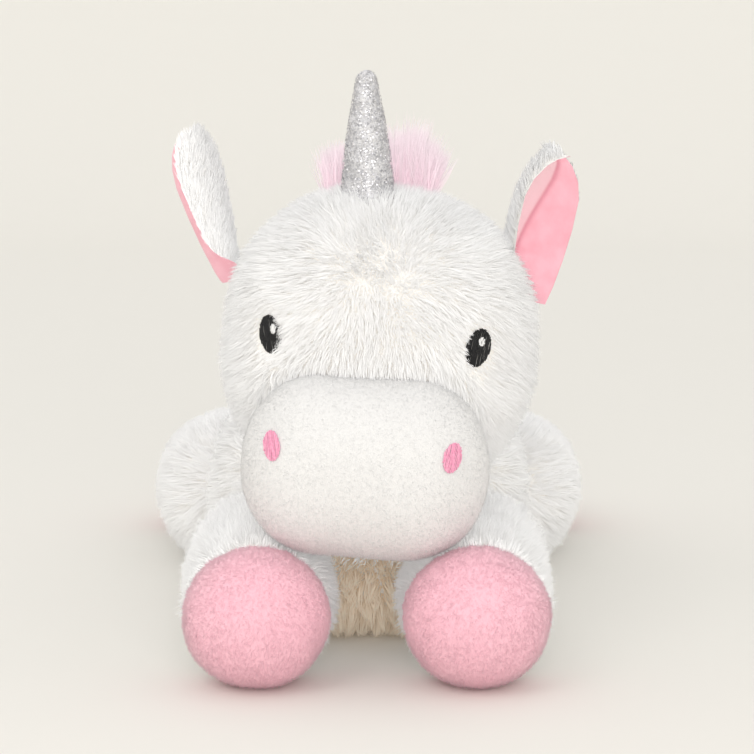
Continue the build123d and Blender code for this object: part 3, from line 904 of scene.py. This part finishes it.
def ear(side, sign):
    along, facing = (np.array(v, float) for v in EAR_SET[side])
    corner = HEAD_HIGH[2] - HEAD_ROUND
    reach = HEAD_HIGH[0] - HEAD_ROUND + math.sqrt(HEAD_ROUND**2 - (EAR_ROOT_Z - corner) ** 2)
    outward = np.array((reach - HEAD_HIGH[0] + HEAD_ROUND, 0, EAR_ROOT_Z - corner))
    root = np.array((reach, EAR_ROOT_Y, EAR_ROOT_Z))
    root = root + outward / np.linalg.norm(outward) * (EAR_ROLL + EAR_STAND_OFF)
    root[0] *= sign
    along /= np.linalg.norm(along)
    across = np.cross(facing, along)
    across /= np.linalg.norm(across)
    front = np.cross(along, across)

    def sheet(u, v, depth):
        """A point of the ear: u across from -1 to 1, v from root to tip, depth towards the lining's side."""
        half = np.interp(v, EAR_HEIGHTS, EAR_HALF_WIDTHS)
        if side == "left":
            fold = past_crease(u, v)
            cup = np.where(fold > 0, 10.0, 6.0) * np.sqrt(fold * fold + 0.003) - 4.0
            cup = cup + 30 * np.maximum(u - 0.62, 0) ** 2
        else:
            root_fold = 1 + 1.4 * np.exp(-(((v - 0.1) / 0.09) ** 2))
            cup = 3.5 * u * u - 1.0 - 60 * root_fold * np.maximum(-u - 0.68, 0) ** 2
        shift = LEFT_EAR_SHIFT * (side == "left")
        return from_head(root + shift + (u * half)[:, None] * across + (v * EAR_LENGTH)[:, None] * along
                         + (cup + depth)[:, None] * front)

    us, vs = np.linspace(-1, 1, EAR_COLUMNS), np.linspace(0, 1, EAR_ROWS)
    u, v = (g.ravel() for g in np.meshgrid(us, vs, indexing="ij"))
    edge = np.clip((1 - np.abs(u)) / 0.25, 0, 1) * np.clip((1 - v) / 0.1, 0, 1) * np.clip(v / 0.08, 0, 1)
    columns, rows = np.meshgrid(np.arange(EAR_COLUMNS - 1), np.arange(EAR_ROWS - 1), indexing="ij")
    at = columns * EAR_ROWS + rows
    quads = np.stack([at, at + EAR_ROWS, at + EAR_ROWS + 1, at + 1], -1).reshape(-1, 4)
    body = f"{side}_ear"
    swell = np.sqrt(edge)
    leaves = (("plush", -EAR_THICK, -0.1, white_backing), ("velour", -0.1, 1.1, lining_velour))
    for layer, near, far, material in leaves:
        low, high = sheet(u, v, near * swell), sheet(u, v, far * swell + 0.02)
        both = np.concatenate([low, high])
        fold = np.tile(past_crease(u, v), 2) * (side == "left")
        # Painted light on the lit side of the left ear's crease and painted shade along its line; the right
        # ear gets neither.
        tone = {"crease_painted_shade": np.exp(-((fold / 0.09) ** 2)) * (side == "left"),
                "crease_painted_light": np.clip(fold * 6, 0, 1)}
        faces = np.concatenate([quads[:, ::-1], quads + len(low)])
        piece = mesh_piece(f"{body}_{layer}", both, [faces], material, tone)
        node = f"{body}_back" if layer == "plush" else f"{body}_lining"
        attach(piece, body)
        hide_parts(node)
    rng = np.random.default_rng(90 + sign)
    pu, pv = rng.uniform(-1, 1, EAR_HAIRS), rng.uniform(0.0, 0.995, EAR_HAIRS)
    depth = -EAR_THICK * 0.9 * np.sqrt(np.clip((1 - np.abs(pu)) / 0.25, 0, 1))
    points = sheet(pu, pv, depth)
    back = unit(np.cross(sheet(pu + 0.01, pv, depth) - points, sheet(pu, pv + 0.01, depth) - points))
    if side == "right":
        back = np.tile(-(head_turn @ front), (EAR_HAIRS, 1))
        back = unit(back + (head_turn @ across)[None] * (pu * 0.9)[:, None])
    comb = np.tile(head_turn @ along, (EAR_HAIRS, 1)) + (head_turn @ across)[None] * (pu * 0.35)[:, None]
    if side == "right":
        pile_length = EAR_PILE * np.clip(0.35 + 3 * (1 - np.abs(pu)), 0.35, 1)
        pile_length = np.where(pu < -0.7, np.where(pv < 0.22, 0.5, 5.0), pile_length)
    else:
        pile_length = EAR_PILE * np.clip(0.3 + 2 * (1 + pu), 0.3, 1)
    for piece in hair(f"{body}_pile", points, back, pile_length, comb, white_pile, 92 + sign):
        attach(piece, body)


ear("left", 1)
ear("right", -1)


# Forelock, mane and tail
# Tufts of pink long pile: a forelock behind the horn, a strip down the back of the head, a strip along
# the shoulders, and a tail of the same on a short stub.

FORELOCK_LOW, FORELOCK_HIGH = (-31, -54, 166), (21, -32, 207)
FORELOCK_HAIRS, MANE_HAIRS, BACK_MANE_HAIRS = 5600, 3600, 2600
MANE_HALF_WIDTH, MANE_CIRCLE = 11, 60
BACK_MANE_START_Y, BACK_MANE_END_Y, BACK_MANE_Z = 14, 62, 86.2
TAIL_ROOT, TAIL_ROOT_RADIUS, TAIL_TIP, TAIL_TIP_RADIUS = np.array((0, 122, 58)), 9, np.array((0, 150, 18)), 13

pink_pile = hair_finish("pink_pile", (0.98, 0.70, 0.79, 1), (1.0, 0.86, 0.91, 1), 0.7, 0.3, 0.44)
pink_backing = plush_backing("pink_backing", (0.90, 0.62, 0.70, 1), (0.84, 0.52, 0.60, 1))


def head_top(points):
    """Points of the head's frame put on its skin from above or behind, and the way the skin faces there."""
    middle = np.array(HEAD_CENTRE, float)
    directions = unit(points - middle)

    def own(p):
        return block(p, HEAD_LOW, HEAD_HIGH, HEAD_ROUND)

    placed = middle + directions * reach_out(own, middle, directions, 120)[:, None]
    return placed, directions


def hair_of(name, body, node, points, facing, length, comb, seed, **how):
    pieces = hair(name, points, facing, length, comb, pink_pile, seed, **how)
    for piece in pieces:
        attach(piece, body)
    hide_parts(node)


rng = np.random.default_rng(301)
n = FORELOCK_HAIRS
x = rng.uniform(FORELOCK_LOW[0] + 5, FORELOCK_HIGH[0] - 5, n)
start = np.stack([x, rng.uniform(FORELOCK_LOW[1] + 2, FORELOCK_HIGH[1], n), np.full(n, 178.0)], 1)
placed, facing = head_top(start)
lump = np.interp(x, (-31, -22, -14, -4, 4, 10, 16, 21), (19, 27, 19, 20, 36, 31, 25, 18))
flare = np.stack([0.006 * (x + 4), rng.normal(0, 0.12, n), np.ones(n)], 1)
hair_of("forelock_hair", "head", "forelock", from_head(placed), unit(flare) @ head_turn.T, lump,
        np.tile((0.0, 0.05, 0.02), (n, 1)), 302, width=0.6, curl=0.2, gather=0.5, tuft=5.5, bend=0.4, rings=3)

n = MANE_HAIRS
sweep_angle = rng.uniform(math.radians(-2), math.radians(62), n)
start = np.stack([rng.uniform(-MANE_HALF_WIDTH, MANE_HALF_WIDTH, n),
                  HEAD_CENTRE[1] + MANE_CIRCLE * np.cos(sweep_angle),
                  HEAD_CENTRE[2] + MANE_CIRCLE * np.sin(sweep_angle)], 1)
placed, facing = head_top(start)
comb = np.stack([rng.normal(0, 0.25, n), np.full(n, 0.1), np.full(n, -0.75)], 1)
hair_of("mane_hair", "head", "mane", from_head(placed), facing @ head_turn.T, 15.0, comb @ head_turn.T, 303,
        width=0.75, curl=0.2, gather=0.5, tuft=4.0, bend=0.7, rings=3)

n = BACK_MANE_HAIRS
start = np.stack([rng.uniform(-MANE_HALF_WIDTH, MANE_HALF_WIDTH, n),
                  rng.uniform(BACK_MANE_START_Y, BACK_MANE_END_Y, n), np.full(n, BACK_MANE_Z)], 1)
comb = np.stack([start[:, 0] * 0.05, np.full(n, 0.6), np.zeros(n)], 1)
hair_of("back_mane_hair", "trunk", "back_mane", start, np.tile((0, 0, 1.0), (n, 1)), 13.0, comb, 304,
        width=0.75, curl=0.2, gather=0.5, tuft=4.0, bend=0.5, rings=3)


def tail_shape(p):
    return limb(p, TAIL_ROOT, TAIL_ROOT_RADIUS - 4, TAIL_TIP, TAIL_TIP_RADIUS - 8)


stub = skin("tail_stub", tail_shape, (TAIL_ROOT + TAIL_TIP) / 2, (6, 10, 26), pink_backing, 4, 0.2, 12, 4)
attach(stub, "tail")
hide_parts("tail")
points, facing = places_on(stub, 2.4, 305)
tail_axis = (TAIL_TIP - TAIL_ROOT) / np.linalg.norm(TAIL_TIP - TAIL_ROOT)
comb = np.tile(tail_axis * 1.5, (len(points), 1))
length = np.clip(6 + 0.2 * ((points - TAIL_ROOT) @ tail_axis), 6, 13)
length = length * np.clip((points[:, 2] - 2) / 14, 0.3, 1)
for piece in hair("tail_hair", points, facing, length, comb, pink_pile, 306, width=0.75, gather=0.4,
                  tuft=3.5, rings=3):
    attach(piece, "tail")


# Inside
# Loose polyester fibre fills every skin, and a cotton pouch of small plastic grain sits low in the belly.

fibre, wire, shader = finish("stuffing_fibre", Roughness=0.95, Sheen_Weight=0.3)
cloud = wire.noise(260.0, 5.0)
cloud.between(0.3, 0.7).blend((0.80, 0.80, 0.81, 1), (0.93, 0.93, 0.93, 1)).feed(shader, "Base Color")
wire.bump(shader, cloud, 0.002)
cotton = plush_backing("pouch_cotton", (0.88, 0.86, 0.81, 1), (0.78, 0.76, 0.71, 1))
grain, wire, shader = finish("plastic_grain", Roughness=0.35)
place = wire.node("ShaderNodeTexCoord", {}, {}, "Object")
beads = wire.node("ShaderNodeTexVoronoi", {}, {"Vector": place, "Scale": 320.0})
beads.between(0.0, 0.6).blend((0.92, 0.92, 0.93, 1), (0.70, 0.70, 0.72, 1)).feed(shader, "Base Color")
wire.bump(shader, 1 - beads, 0.0015)
inside_finish = {"pouch_liner": cotton, "pouch_grain": grain}
for node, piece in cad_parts.items():
    if node.endswith("_filling") or node in inside_finish:
        piece.data.materials.clear()
        piece.data.materials.append(inside_finish.get(node, fibre))
